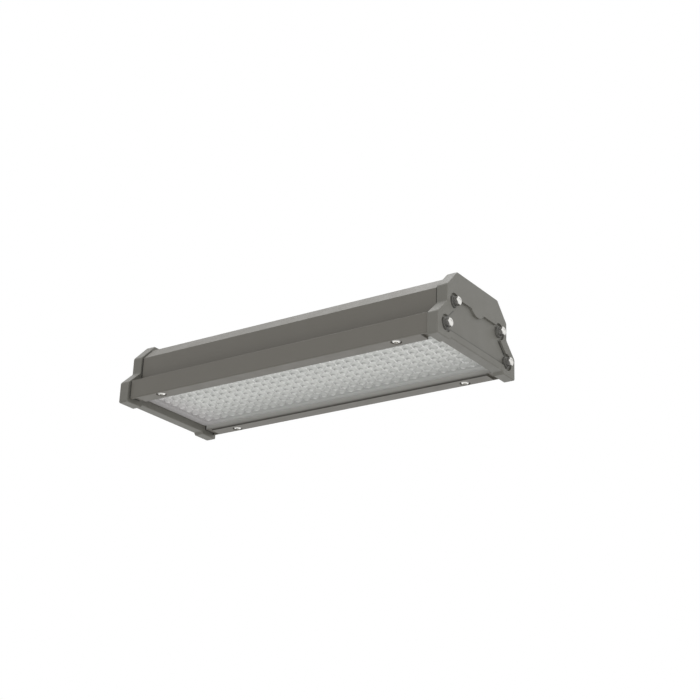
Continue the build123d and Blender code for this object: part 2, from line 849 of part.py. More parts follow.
def vent_plug():
    """Breather plug that lets the housing's air out and keeps water out."""
    cap_bottom = housing_top + vent_foot_height
    cap_top = cap_bottom + vent_cap_height
    body = round_body(vent_x, vent_cap_radius, cap_bottom, cap_top)
    body = fillet(body.faces().sort_by(Axis.Z)[-1].edges(), vent_cap_rounding)
    body += round_body(vent_x, vent_foot_radius, housing_top, cap_bottom)
    body += round_body(vent_x, vent_thread_radius, ceiling - vent_inner_length, housing_top)
    slot = block((vent_cap_radius - vent_slot_depth, vent_cap_radius + cut_past),
                 (-vent_slot_width / 2, vent_slot_width / 2), (cap_bottom, cap_bottom + vent_slot_height))
    return body - [Pos(vent_x, top_fitting_y, 0) * Rot(0, 0, 360 * k / vent_slots) * slot
                   for k in range(vent_slots)]


def hanging_insert(side):
    """Pressed-in threaded bush that takes a hanging bolt."""
    x = side * insert_x
    bottom = housing_top - insert_length
    top = housing_top + insert_flange_thickness
    bush = upright(insert_radius, bottom, housing_top, x)
    bush += upright(insert_radius + insert_flange_width, housing_top, top, x)
    return bush - upright(insert_thread_radius, bottom, top, x)


def save(name, *solids):
    """Writes one node, a single solid or a group of separate ones."""
    shape = solids[0] if len(solids) == 1 else Compound(children=list(solids))
    export_step(shape, "parts/" + name + ".step")


def both_ends(pieces):
    """Pieces of the +X end with the same pieces at the -X end."""
    return pieces + [other_end(piece) for piece in pieces]


os.makedirs("parts", exist_ok=True)
cap = end_cap()
gasket = cap_gasket()
save("housing", housing())
save("end_cap_right", cap)
save("end_cap_left", other_end(cap))
save("cap_gasket_right", gasket)
save("cap_gasket_left", other_end(gasket))
save("cap_screws", *both_ends(cap_screws()))
save("cap_washers", *both_ends(cap_washers()))
save("lens_plate", lens_plate())
save("lens_seal", lens_seal())
save("diode_board_front", diode_board(-1))
save("diode_board_back", diode_board(1))
save("diodes", *diodes())
save("thermal_pads", thermal_pad(-1), thermal_pad(1))
save("flange_screws", *flange_screws())
save("driver_case", driver_case())
save("driver_end_plates", *driver_end_plates())
save("driver_screws", *driver_screws())
save("terminal_block", terminal_block())
save("terminal_screws", *terminal_screws())
save("supply_wires", *supply_wires())
save("feed_wires", *feed_wires())
save("feed_block", feed_block())
save("shelf_grommet", shelf_grommet())
save("earth_lead", earth_lead())
save("ring_terminal", ring_terminal())
save("earth_screw", earth_screw())
save("gland_washer", gland_washer())
save("gland_body", gland_body())
save("gland_nut", gland_nut())
save("gland_seal", gland_seal())
save("gland_locknut", locknut(gland_x, gland_thread_radius, gland_hex))
save("vent_plug", vent_plug())
save("vent_locknut", locknut(vent_x, vent_thread_radius, vent_nut_hex))
save("hanging_inserts", hanging_insert(-1), hanging_insert(1))
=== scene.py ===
import math

import bmesh
import bpy
from mathutils import Matrix, Vector


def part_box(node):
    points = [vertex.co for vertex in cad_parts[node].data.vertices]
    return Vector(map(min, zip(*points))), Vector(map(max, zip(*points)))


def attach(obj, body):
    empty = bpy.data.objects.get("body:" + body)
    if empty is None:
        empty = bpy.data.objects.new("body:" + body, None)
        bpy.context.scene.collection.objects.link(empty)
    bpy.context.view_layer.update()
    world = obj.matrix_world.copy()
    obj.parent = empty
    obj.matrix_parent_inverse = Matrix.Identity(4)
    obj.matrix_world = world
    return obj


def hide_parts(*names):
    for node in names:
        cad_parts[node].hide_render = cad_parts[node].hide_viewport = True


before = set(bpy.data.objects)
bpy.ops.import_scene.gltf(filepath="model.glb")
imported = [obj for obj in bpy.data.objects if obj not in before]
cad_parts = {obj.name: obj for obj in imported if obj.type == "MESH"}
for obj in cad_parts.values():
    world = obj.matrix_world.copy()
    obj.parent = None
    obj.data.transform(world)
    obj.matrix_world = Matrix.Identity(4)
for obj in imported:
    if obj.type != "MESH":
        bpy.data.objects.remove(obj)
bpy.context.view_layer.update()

bl_info = {
    "name": "Linear High Bay Light",
    "version": (1, 0, 0),
    "blender": (4, 5, 0),
    "location": "View3D > Sidebar > High Bay",
    "description": "Dresses a linear high bay light: paint, screws, lenses, fittings and a plain studio",
    "category": "Object",
}

# All lengths are in metres. X runs along the light, Z points up, and the lenses face down.
MM = 0.001
BODY = "root"

# Meshes: sides of round pieces, and how near two points count as one
ROUND_SIDES = 48
DOME_SIDES = 16
DOME_RINGS = 4
SAME_POINT = 1e-6
SMOOTH_ANGLE = math.radians(32)

# Painted light on each lens dome: places of its painted highlight spot and of its painted shade crescent, in
# parts of the pitch, from the middle of its dome
SPOT_CENTRE = (0.03, 0.14, 0.0)
CRESCENT_OUTSIDE = (-0.01, -0.09, 0.0)
CRESCENT_INSIDE = (0.02, -0.01, 0.0)
# Colour of the painted highlight spot
PAINTED_HIGHLIGHT_COLOUR = (1.0, 1.0, 0.98)
# Strength of the painted shade on the lens plate's plain border
BORDER_SHADE = 0.7

# Far end of the lens plate, where the painted marks fade out and painted shade turns the plate to another
# grey
FAR_FADE = (-180 * MM, -140 * MM)
FAR_SHADE_COLOUR = (0.60, 0.565, 0.575)

# Lamps: the setting that holds the power, the place, the point that the lamp faces, and the sides
LAMPS = (
    ("card", (-0.55, 1.0, -1.0), (0.0, 0.0, 0.0), (1.6, 1.2)),
    ("side", (1.9, 0.55, 0.35), (0.2, 0.0, 0.03), (1.2, 1.2)),
    ("fill", (1.2, -1.9, -1.1), (0.0, 0.0, 0.0), (2.0, 2.0)),
    ("top", (-0.3, 0.2, 2.4), (0.0, 0.0, 0.0), (2.5, 2.0)),
)

# Finishes: colour setting, roughness, fineness of the grain, its depth in millimetres, drift of the tone,
# metallic, strength of the drawn lines
FINISHES = {
    "housing_powder_coat": ("housing", 0.46, 620.0, 0.035, 0.05, 0.0, 0.8),
    "cap_powder_coat": ("cap", 0.50, 480.0, 0.06, 0.06, 0.0, 0.0),
    "gasket_rubber": ("rubber", 0.70, 1400.0, 0.03, 0.15, 0.0, 0.0),
    "washer_rubber": ("washer", 0.55, 1800.0, 0.02, 0.12, 0.0, 0.0),
    "bright_zinc": ("zinc", 0.24, 2600.0, 0.01, 0.06, 1.0, 0.0),
    # Darker zinc: painted shade on the screw heads' sides, and the spring washers' own plating
    "dark_zinc": ("dark_zinc", 0.42, 2600.0, 0.02, 0.12, 1.0, 0.0),
    "diode_package": ("package", 0.40, 2500.0, 0.02, 0.04, 0.0, 0.0),
    "diode_phosphor": ("phosphor", 0.45, 3500.0, 0.02, 0.08, 0.0, 0.0),
    "silicone_pad": ("pad", 0.75, 1200.0, 0.02, 0.08, 0.0, 0.0),
    "black_nylon": ("nylon", 0.38, 1600.0, 0.02, 0.12, 0.0, 0.0),
    "plain_aluminium": ("aluminium", 0.36, 1300.0, 0.02, 0.05, 1.0, 0.8),
    "white_moulding": ("white_plastic", 0.45, 1500.0, 0.02, 0.04, 0.0, 0.0),
    "wire_sheath": ("wire", 0.42, 1800.0, 0.02, 0.10, 0.0, 0.0),
    "earth_sheath": ("earth", 0.42, 1800.0, 0.02, 0.10, 0.0, 0.0),
    "tinned_copper": ("tin", 0.30, 2000.0, 0.02, 0.06, 1.0, 0.0),
    "floor_paint": ("floor", 0.90, 30.0, 0.02, 0.01, 0.0, 0.0),
}

# The Mix node's sockets for colours, by number
MIX_FIRST = 6
MIX_SECOND = 7
MIX_RESULT = 2


def place(name, description, millimetres, **limits):
    """A coordinate that a user can set."""
    return bpy.props.FloatProperty(name=name, description=description, default=millimetres * MM,
                                   unit="LENGTH", precision=5, **limits)


def length(name, description, millimetres):
    """A length that a user can set."""
    return place(name, description, millimetres, min=0.0)


def strength(name, description, default, **kind):
    """A strength that a user can set."""
    return bpy.props.FloatProperty(name=name, description=description, default=default, min=0.0, **kind)


def angle(name, description, degrees):
    """An angle that a user can set."""
    return bpy.props.FloatProperty(name=name, description=description, default=math.radians(degrees),
                                   unit="ROTATION")


def paint(name, description, default):
    """A colour that a user can set."""
    return bpy.props.FloatVectorProperty(name=name, description=description, default=default,
                                         size=3, min=0.0, max=1.0, subtype="COLOR")


class LensSizes(bpy.types.PropertyGroup):
    """Sizes of the lens plate and of the diodes behind it."""
    pitch: length("Lens pitch", "Distance from one dome to the next", 11.4)
    columns: bpy.props.IntProperty(name="Columns", description="Domes along the light", default=31, min=1)
    rows: bpy.props.IntProperty(name="Rows", description="Domes across the light", default=8, min=1)
    dome_radius: length("Dome radius", "Radius of a dome at its foot", 5.2)
    dome_height: length("Dome height", "Height of a dome above the thin field", 3.2)
    plate_thickness: length("Border thickness", "Thickness of the plate's border", 4.0)
    field_thickness: length("Field thickness", "Thickness of the plate between the domes", 1.5)
    field_margin: length("Field margin", "Flat strip between the outer domes and the border", 1.2)
    draft: length("Wall draft", "How far the border's inner wall leans", 0.5)
    edge: length("Edge rounding", "Rounding of the border's edges", 0.4)
    diode_side: length("Diode side", "Side of a diode's package", 3.0)
    diode_height: length("Diode height", "Height of a diode's package", 0.7)
    emitter_inset: length("Emitter inset", "Frame round the light emitting face", 0.35)


class ScrewSizes(bpy.types.PropertyGroup):
    """Sizes and places of the screws and their washers."""
    low_y: place("Low screw side", "Distance of a cap's low screws from the middle", 58.3)
    low_z: place("Low screw height", "Height of a cap's low screws", 14.7)
    high_y: place("High screw side", "Distance of a cap's high screws from the middle", 43.2)
    high_z: place("High screw height", "Height of a cap's high screws", 42.2)
    across_flats: length("Head across flats", "Width of a cap screw's hexagon", 8.0)
    head_height: length("Head height", "Height of a cap screw's hexagon head", 3.5)
    spring_height: length("Spring washer", "Thickness of the spring washer under the head", 1.3)
    spring_radius: length("Spring washer radius", "Outer radius of the spring washer", 4.3)
    thread_radius: length("Thread radius", "Radius of a cap screw's thread", 2.5)
    thread_length: length("Thread length", "Length of a cap screw below its spring washer", 27.7)
    washer_radius: length("Washer radius", "Outer radius of a sealing washer", 6.0)
    washer_thickness: length("Washer thickness", "Thickness of a sealing washer", 2.5)
    flange_x: place("Flange screw place", "Distance of a flange screw from the middle", 148.0)
    flange_y: place("Flange screw side", "Distance of a flange screw from the middle line", 64.2)
    flange_seat: place("Flange screw seat", "Height of the seat that the flange screws rest on", 6.6)
    button_radius: length("Button head radius", "Outer radius of a flange screw's head", 5.2)
    button_height: length("Button head height", "Height of a flange screw's head", 3.3)
    socket: length("Socket", "Width of the hexagon socket", 4.0)
    socket_depth: length("Socket depth", "Depth of the hexagon socket", 2.0)


class CapSizes(bpy.types.PropertyGroup):
    """Places of the painted shade in the creases round the end caps' sunk panels, and of the lamp chamber's
    walls.
    """
    panel_floor: place("Panel floor", "Distance of a panel's floor from the middle", 197.7)
    panel_low: place("Panel low edge", "Height of a panel's low edge", 9.6)
    slant_y: place("Slant side", "Distance of a panel's low shoulder from the middle line", 59.5)
    slant_z: place("Slant height", "Height of a panel's low shoulder", 19.8)
    slant_run: length("Slant run", "How far the shoulder's edge runs inwards", 14.5)
    slant_rise: length("Slant rise", "How far the shoulder's edge rises", 13.6)
    chamber_top: length("Chamber top", "Height of the lamp chamber's ceiling", 17.0)
    chamber_reach: length("Chamber reach", "Half width of what counts as the lamp chamber", 55.4)


class FittingSizes(bpy.types.PropertyGroup):
    """Sizes and places of the fittings on the top of the housing."""
    top: place("Housing top", "Height of the housing's top", 69.2)
    side: place("Fitting side", "Distance of the gland and the breather from the middle line", 24.0)
    gland_x: place("Gland place", "Place of the cable gland along the light", -155.0)
    gland_flats: length("Gland across flats", "Width of the gland's hexagons", 19.0)
    gland_washer: length("Gland washer", "Thickness of the seal under the gland", 1.2)
    gland_hex: length("Gland hexagon", "Height of the gland body's hexagon", 5.0)
    gland_neck: length("Gland neck", "Height of the gland body's neck", 6.0)
    nut_hex: length("Nut hexagon", "Height of the compression nut's hexagon", 5.4)
    nut_height: length("Nut height", "Height of the whole compression nut", 9.0)
    nut_mouth: length("Nut mouth", "Radius of the compression nut's opening", 5.0)
    insert_x: place("Insert place", "Distance of a hanging insert from the middle", 125.0)
    insert_radius: length("Insert radius", "Outer radius of a hanging insert", 6.0)
    insert_flange: length("Insert flange", "Width of a hanging insert's flange", 1.5)
    insert_length: length("Insert length", "Length of a hanging insert below the top", 11.0)
    thread_minor: length("Thread minor radius", "Radius of the thread's crests", 3.4)
    thread_major: length("Thread major radius", "Radius of the thread's roots", 3.9)
    thread_pitch: length("Thread pitch", "Distance from one thread to the next", 1.25)


class LightColours(bpy.types.PropertyGroup):
    """Colours of the finishes."""
    housing: paint("Housing paint", "Powder coat of the extruded housing", (0.158, 0.149, 0.128))
    cap: paint("Cap paint", "Powder coat of the cast end caps", (0.178, 0.173, 0.152))
    # Colour of the painted reflection of the lenses on the lamp chamber's walls
    painted_lens_reflection: paint("Chamber walls", "Walls of the lamp chamber, lit by the lenses", (0.50, 0.495, 0.47))
    rubber: paint("Rubber", "Gaskets, seals and grommet", (0.028, 0.028, 0.027))
    washer: paint("Sealing washer", "Washers under the cap screws", (0.130, 0.127, 0.115))
    zinc: paint("Zinc", "Plated screws", (0.74, 0.73, 0.70))
    # Darker copy of the zinc: painted shade on the sides of the cap screws' heads, and the own darker plating
    # of the spring washers and threads
    dark_zinc: paint("Dark zinc", "Sides of the screws' heads and spring washers", (0.36, 0.355, 0.34))
    lens: paint("Lens", "Clear polycarbonate", (0.83, 0.84, 0.81))
    board: paint("Board", "White solder mask", (0.76, 0.78, 0.75))
    phosphor: paint("Phosphor", "Light emitting faces", (0.72, 0.66, 0.42))
    package: paint("Package", "Diode packages", (0.78, 0.78, 0.75))
    pad: paint("Pad", "Heat conducting pads", (0.42, 0.42, 0.44))
    aluminium: paint("Aluminium", "Driver case and end plates", (0.62, 0.62, 0.63))
    white_plastic: paint("White plastic", "Terminal block and feed block", (0.72, 0.72, 0.69))
    wire: paint("Wire", "Supply and feed wires", (0.16, 0.08, 0.05))
    earth: paint("Earth wire", "Earth lead", (0.22, 0.42, 0.08))
    tin: paint("Tin", "Ring terminal", (0.66, 0.65, 0.63))
    nylon: paint("Nylon", "Gland and breather", (0.035, 0.035, 0.036))
    floor: paint("Floor", "Plain pale floor", (0.86, 0.86, 0.86))


class StageSettings(bpy.types.PropertyGroup):
    """Floor, lamps and camera."""
    floor_level: place("Floor level", "Height of the floor, far below the hanging light", -2000.0)
    floor_size: length("Floor size", "Side of the square floor", 40000.0)
    ambient: strength("Ambient", "Strength of the light from all round", 0.44)
    card: strength("Card", "Power of the lamp low behind the light", 5.5, subtype="POWER")
    side: strength("Side lamp", "Power of the lamp beside the near cap", 7.0, subtype="POWER")
    fill: strength("Fill lamp", "Power of the lamp low in front of the light", 20.0, subtype="POWER")
    top: strength("Top lamp", "Power of the lamp above the light", 40.0, subtype="POWER")
    camera_place: bpy.props.FloatVectorProperty(name="Camera place", description="Where the camera stands",
                                                default=(0.853147, -1.129626, -0.514176), unit="LENGTH")
    azimuth: angle("Azimuth", "Direction that the camera looks from", 35.450)
    elevation: angle("Elevation", "Camera angle above the horizon", -21.699)
    roll: angle("Roll", "Camera turn about its own axis", 2.144)
    focal: bpy.props.FloatProperty(name="Focal length", description="Focal length in millimetres",
                                   default=74.728, min=1.0)


# Modelling helpers

def select_none():
    """Nothing is selected, so that an operator acts on the new piece alone."""
    bpy.ops.object.select_all(action="DESELECT")


def make_active(piece):
    """Selects one piece alone and makes it the active one."""
    select_none()
    piece.select_set(True)
    bpy.context.view_layer.objects.active = piece


def pick(kind, test):
    """In edit mode, selects the verts, edges or faces that pass a test."""
    modes = {"verts": "VERT", "edges": "EDGE", "faces": "FACE"}
    bpy.ops.mesh.select_mode(type=modes[kind])
    bpy.ops.mesh.select_all(action="DESELECT")
    mesh = bpy.context.object.data
    shape = bmesh.from_edit_mesh(mesh)
    for item in getattr(shape, kind):
        if test(item):
            item.select_set(True)
    shape.select_flush_mode()
    bmesh.update_edit_mesh(mesh)


def close_up():
    """In edit mode, merges doubles, fills what is open and turns all faces outwards."""
    bpy.ops.mesh.select_mode(type="VERT")
    bpy.ops.mesh.select_all(action="SELECT")
    bpy.ops.mesh.remove_doubles(threshold=SAME_POINT)
    bpy.ops.mesh.select_all(action="SELECT")
    bpy.ops.mesh.fill_holes(sides=0)
    bpy.ops.mesh.select_all(action="SELECT")
    bpy.ops.mesh.normals_make_consistent(inside=False)


def widen(x_factor, y_factor, centre=(0.0, 0.0, 0.0)):
    """Scales the selection sideways about a point."""
    bpy.ops.transform.resize(value=(x_factor, y_factor, 1.0), center_override=centre)


def draw_out(rise):
    """Extrudes the selection along Z."""
    bpy.ops.mesh.extrude_region_move(TRANSFORM_OT_translate={"value": (0.0, 0.0, rise)})


def fix_place():
    """Moves the active piece's place, turn and scale into its mesh."""
    bpy.ops.object.transform_apply(location=True, rotation=True, scale=True)


def turned(name, steps, sides=ROUND_SIDES, ring=False):
    """Piece round Z whose outline runs through steps of (radius, height); a ring's outline is closed."""
    select_none()
    radius, height = steps[0]
    bpy.ops.mesh.primitive_circle_add(vertices=sides, radius=radius, fill_type="NOTHING",
                                      location=(0, 0, height))
    piece = bpy.context.object
    piece.name = name
    bpy.ops.object.mode_set(mode="EDIT")
    bpy.ops.mesh.select_mode(type="VERT")
    bpy.ops.mesh.select_all(action="SELECT")
    for next_radius, next_height in steps[1:] + (steps[:1] if ring else []):
        draw_out(next_height - height)
        widen(next_radius / radius, next_radius / radius)
        radius, height = next_radius, next_height
    close_up()
    bpy.ops.object.mode_set(mode="OBJECT")
    fix_place()
    return piece


def prism(name, across_flats, bottom, top):
    """Upright hexagon prism."""
    radius = across_flats / math.sqrt(3)
    return turned(name, [(radius, bottom), (radius, top)], sides=6)


def modify(piece, kind, **values):
    """Applies a modifier with its settings to a piece."""
    make_active(piece)
    change = piece.modifiers.new("change", kind)
    for name, value in values.items():
        setattr(change, name, value)
    bpy.ops.object.modifier_apply(modifier=change.name)
    return piece


def combine(piece, tool, operation):
    """Cuts or intersects a piece with a tool, and deletes the tool."""
    modify(piece, "BOOLEAN", operation=operation, solver="EXACT", object=tool)
    bpy.data.objects.remove(tool)
    return piece


def soften(piece, width, segments=2):
    """Rounds a piece's sharp edges."""
    return modify(piece, "BEVEL", width=width, segments=segments, limit_method="ANGLE",
                  angle_limit=SMOOTH_ANGLE)


def join(pieces, name):
    """Joins pieces into one object."""
    make_active(pieces[0])
    for piece in pieces:
        piece.select_set(True)
    bpy.ops.object.join()
    joined = bpy.context.object
    joined.name = name
    joined.data.name = name
    return joined


def copies(source, matrices, name):
    """One object made of a copy of the source at each place, with the source deleted."""
    made = []
    for matrix in matrices:
        copy = source.copy()
        copy.data = source.data.copy()
        copy.data.transform(matrix)
        bpy.context.collection.objects.link(copy)
        made.append(copy)
    bpy.data.objects.remove(source)
    return join(made, name)


def settle(piece, slot, *nodes):
    """Smooths a finished piece, lets it ride the light's body and stand for its CAD nodes."""
    make_active(piece)
    bpy.ops.object.shade_smooth_by_angle(angle=SMOOTH_ANGLE)
    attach(piece, BODY)
    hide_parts(*nodes)


def upright_places(points):
    """Matrices that put an upright piece at each point."""
    return [Matrix.Translation(point) for point in points]


def cap_screw_points(sizes):
    """Places of a cap's four screws on its face."""
    return [(side * y, z) for y, z in ((sizes.low_y, sizes.low_z), (sizes.high_y, sizes.high_z))
            for side in (-1, 1)]


def end_places(face_x, points):
    """Matrices that lay an upright piece along X, head outwards, on both end caps."""
    lay_down = Matrix.Rotation(math.radians(90), 4, "Y")
    near = [Matrix.Translation((face_x, y, z)) @ lay_down for y, z in points]
    half_turn = Matrix.Rotation(math.radians(180), 4, "Z")
    return near + [half_turn @ matrix for matrix in near]


# Material helpers

def new_group(name, inputs, outputs):
    """Empty shader node group that takes a place and numbers with their usual values, and gives numbers."""
    group = bpy.data.node_groups.new(name, "ShaderNodeTree")
    group.interface.new_socket("Place", in_out="INPUT", socket_type="NodeSocketVector")
    for label, value in inputs.items():
        group.interface.new_socket(label, in_out="INPUT", socket_type="NodeSocketFloat").default_value = value
    for label in outputs:
        group.interface.new_socket(label, in_out="OUTPUT", socket_type="NodeSocketFloat")
    return group, group.nodes.new("NodeGroupInput"), group.nodes.new("NodeGroupOutput")


def feed(tree, node, inputs):
    """Puts a value or a socket on each of the given inputs of a node."""
    for label, value in inputs.items():
        if isinstance(value, bpy.types.NodeSocket):
            tree.links.new(value, node.inputs[label])
        else:
            node.inputs[label].default_value = value
    return node


def add_node(tree, kind, inputs):
    """New node with a value or a socket on each of the given inputs."""
    return feed(tree, tree.nodes.new(kind), inputs)


def math_node(tree, operation, first, second=0.0):
    """Math node on one or two values or sockets."""
    node = add_node(tree, "ShaderNodeMath", {0: first, 1: second})
    node.operation = operation
    return node.outputs[0]


def product(tree, *factors):
    """Product of values and sockets."""
    result = factors[0]
    for factor in factors[1:]:
        result = math_node(tree, "MULTIPLY", result, factor)
    return result


def noise(tree, vector, scale, detail):
    """Noise texture on a vector, with its value."""
    node = add_node(tree, "ShaderNodeTexNoise", {"Vector": vector, "Scale": scale, "Detail": detail})
    return node.outputs["Fac"]


def grain_group():
    """Orange peel, fine speckle and slow drift of a coated or moulded surface."""
    group, given, result = new_group("surface_grain", {"Fineness": 900.0, "Drift": 12.0},
                                     ("Height", "Tone", "Wear"))
    spot = given.outputs["Place"]
    peel = noise(group, spot, given.outputs["Fineness"], 2.0)
    speckle = noise(group, spot, product(group, given.outputs["Fineness"], 3.1), 1.0)
    drift = noise(group, spot, given.outputs["Drift"], 3.0)
    smudge = noise(group, spot, product(group, given.outputs["Drift"], 4.3), 4.0)
    feed(group, result, {
        "Height": math_node(group, "ADD", product(group, peel, 0.7), product(group, speckle, 0.3)),
        "Tone": math_node(group, "ADD", product(group, drift, 0.6), product(group, speckle, 0.4)),
        "Wear": smudge})


def line_group():
    """Fine straight lines along X, as an extrusion die or a brush leaves them."""
    group, given, result = new_group("drawn_lines", {"Density": 700.0}, ("Height", "Tone"))
    stretched = vector_node(group, "MULTIPLY", given.outputs["Place"], (0.006, 1.0, 1.0))
    density = given.outputs["Density"]
    feed(group, result, {"Height": noise(group, stretched, density, 2.0),
                         "Tone": noise(group, stretched, product(group, density, 0.12), 2.0)})


def use_group(tree, name, spot, **values):
    """Places a shared node group in a material with its own values."""
    node = tree.nodes.new("ShaderNodeGroup")
    node.node_tree = bpy.data.node_groups[name]
    return feed(tree, node, {"Place": spot, **values})


def blend_colour(tree, factor, first, second):
    """Colour between two by a factor socket."""
    node = tree.nodes.new("ShaderNodeMix")
    node.data_type = "RGBA"
    first, second = (colour if isinstance(colour, bpy.types.NodeSocket) else (*colour, 1.0)
                     for colour in (first, second))
    feed(tree, node, {"Factor": factor, MIX_FIRST: first, MIX_SECOND: second})
    return node.outputs[MIX_RESULT]


def spread(tree, value, low, high, start=0.3, end=0.7):
    """Value mapped from its usual range to a low and a high one."""
    return add_node(tree, "ShaderNodeMapRange", {"Value": value, "From Min": start, "From Max": end,
                                                 "To Min": low, "To Max": high}).outputs["Result"]


def tinted(colour, factor):
    """Colour made lighter or darker by a factor."""
    return tuple(min(1.0, channel * factor) for channel in colour)


def bumped(tree, height, depth):
    """Normal from a height, with its depth in metres."""
    return add_node(tree, "ShaderNodeBump", {"Height": height, "Distance": depth}).outputs["Normal"]


def blank_material(name):
    """Material with a Principled shader and the object's own coordinates."""
    material = bpy.data.materials.new(name)
    material.use_nodes = True
    tree = material.node_tree
    shader = tree.nodes["Principled BSDF"]
    spot = tree.nodes.new("ShaderNodeTexCoord").outputs["Object"]
    return material, tree, shader, spot


def finish(name):
    """Finish with grain, slow drift and, where its row says so, drawn lines; made when first asked for."""
    if name in bpy.data.materials:
        return bpy.data.materials[name]
    setting, roughness, fineness, depth, tone, metallic, lines = FINISHES[name]
    colour = getattr(bpy.context.scene.highbay_colours, setting)
    material, tree, shader, spot = blank_material(name)
    grain = use_group(tree, "surface_grain", spot, Fineness=fineness)
    height = grain.outputs["Height"]
    shade = spread(tree, grain.outputs["Tone"], 0.0, 1.0)
    if lines:
        drawn = use_group(tree, "drawn_lines", spot)
        height = math_node(tree, "ADD", height, product(tree, drawn.outputs["Height"], lines))
        shade = product(tree, math_node(tree, "ADD", shade, drawn.outputs["Tone"]), 0.5)
    feed(tree, shader, {
        "Base Color": blend_colour(tree, shade, tinted(colour, 1 - tone), tinted(colour, 1 + tone)),
        "Roughness": spread(tree, grain.outputs["Wear"], roughness * 0.88, roughness * 1.12),
        "Normal": bumped(tree, height, depth * MM)})
    shader.inputs["Metallic"].default_value = metallic
    return material


def vector_node(tree, operation, first, second=(0.0, 0.0, 0.0)):
    """Vector maths node on a socket and a fixed vector."""
    node = add_node(tree, "ShaderNodeVectorMath", {0: first, 1: second})
    node.operation = operation
    return node.outputs["Value" if operation == "DISTANCE" else "Vector"]


def coordinates(tree, vector):
    """The three parts of a place."""
    return add_node(tree, "ShaderNodeSeparateXYZ", {0: vector}).outputs[:]


def within(tree, value, reach):
    """Mask that is 1 where a value is nearer to zero than the reach."""
    return math_node(tree, "LESS_THAN", math_node(tree, "ABSOLUTE", value), reach)


def glint_group(sizes):
    """Painted light on a field of small lenses over its diodes: a painted highlight spot, a painted shade
    crescent and a pale net of painted light on each dome, painted shade towards the back and on the border,
    and painted shade at the far end.
    """
    pitch = sizes.pitch
    group, given, result = new_group("lens_glints", {}, ("Bright", "Dark", "Net", "Shade", "Far"))
    cells = vector_node(group, "MULTIPLY", given.outputs["Place"], (1 / pitch, 1 / pitch, 0.0))
    cells = vector_node(group, "ADD", cells, (0.5, 0.0, 0.0))
    cells = vector_node(group, "FRACTION", cells)
    cells = vector_node(group, "SUBTRACT", cells, (0.5, 0.5, 0.0))
    bright, outside, inside, middle = (
        vector_node(group, "DISTANCE", cells, centre)
        for centre in (SPOT_CENTRE, CRESCENT_OUTSIDE, CRESCENT_INSIDE, (0.0, 0.0, 0.0)))
    along, across, _ = coordinates(group, given.outputs["Place"])
    field = product(group, within(group, along, sizes.columns * pitch / 2),
                    within(group, across, sizes.rows * pitch / 2))
    # Painted shade on the plain border outside the field of domes
    border = product(group, math_node(group, "SUBTRACT", 1.0, field), BORDER_SHADE)
    # The painted marks fade towards the back of the plate and at its far end
    shown = product(group, field, spread(group, across, 1.0, 0.45, 5 * MM, 35 * MM),
                    spread(group, along, 0.35, 1.0, *FAR_FADE))
    # Painted shade: a crescent on one side of each dome
    crescent = product(group, spread(group, outside, 1.0, 0.0, 0.19, 0.27),
                       spread(group, inside, 0.0, 1.0, 0.17, 0.25))
    # Bright is a painted highlight spot, Dark a painted shade crescent, Net painted light on the field
    # between the domes
    feed(group, result, {
        "Bright": product(group, spread(group, bright, 1.0, 0.0, 0.08, 0.18), shown),
        "Dark": product(group, crescent, shown),
        "Net": product(group, spread(group, middle, 0.0, 1.0, 0.40, 0.50), shown),
        # Painted shade towards the back of the plate and on its border
        "Shade": math_node(group, "MAXIMUM", border, spread(group, across, 0.0, 0.8, 0.0, 40 * MM)),
        # Painted shade at the far end of the plate
        "Far": spread(group, along, 1.0, 0.0, *FAR_FADE)})


def clear_lens_material(colour):
    """Clear moulded polycarbonate with a faint flow texture, and the painted highlights, painted shade and
    painted pale net of its lenses.
    """
    material, tree, shader, spot = blank_material("clear_polycarbonate")
    grain = use_group(tree, "surface_grain", spot, Fineness=260.0)
    glints = use_group(tree, "lens_glints", spot)
    shades = blend_colour(tree, grain.outputs["Wear"], tinted(colour, 0.97), colour)
    # Painted light over the plastic: pale net between the domes, painted shade towards the back and on the
    # border, painted shade crescents, painted highlight spots and painted shade at the far end
    for name, share, shade in (("Net", 0.9, tinted(colour, 1.2)), ("Shade", 1.0, tinted(colour, 0.7)),
                               ("Dark", 0.7, tinted(colour, 0.4)), ("Bright", 1.0, PAINTED_HIGHLIGHT_COLOUR),
                               ("Far", 0.6, FAR_SHADE_COLOUR)):
        shades = blend_colour(tree, product(tree, glints.outputs[name], share), shades, shade)
    feed(tree, shader, {
        "Base Color": shades,
        "Roughness": spread(tree, grain.outputs["Tone"], 0.16, 0.24),
        "Normal": bumped(tree, grain.outputs["Height"], 0.02 * MM)})
    shader.inputs["Transmission Weight"].default_value = 0.25
    shader.inputs["IOR"].default_value = 1.5
    return material


def board_material(colour):
    """White solder mask with copper tracks that show faintly through it."""
    material, tree, shader, spot = blank_material("white_solder_mask")
    tracks = add_node(tree, "ShaderNodeTexBrick", {
        "Vector": spot, "Scale": 1.0, "Brick Width": 11.4 * MM, "Row Height": 11.4 * MM,
        "Mortar Size": 0.5 * MM, "Mortar Smooth": 0.2})
    tracks.offset = 0.0
    grain = use_group(tree, "surface_grain", spot, Fineness=1500.0)
    base = blend_colour(tree, tracks.outputs["Fac"], colour, tinted(colour, 0.86))
    feed(tree, shader, {
        "Base Color": blend_colour(tree, spread(tree, grain.outputs["Tone"], 0.0, 0.15), base,
                                   tinted(colour, 0.9)),
        "Roughness": spread(tree, grain.outputs["Wear"], 0.38, 0.5),
        "Normal": bumped(tree, tracks.outputs["Fac"], 0.03 * MM)})
    return material


def mix_in(material, factor, colour):
    """Lays a colour over a material's own by a factor socket."""
    tree = material.node_tree
    socket = tree.nodes["Principled BSDF"].inputs["Base Color"]
    tree.links.new(blend_colour(tree, factor, socket.links[0].from_socket, colour), socket)


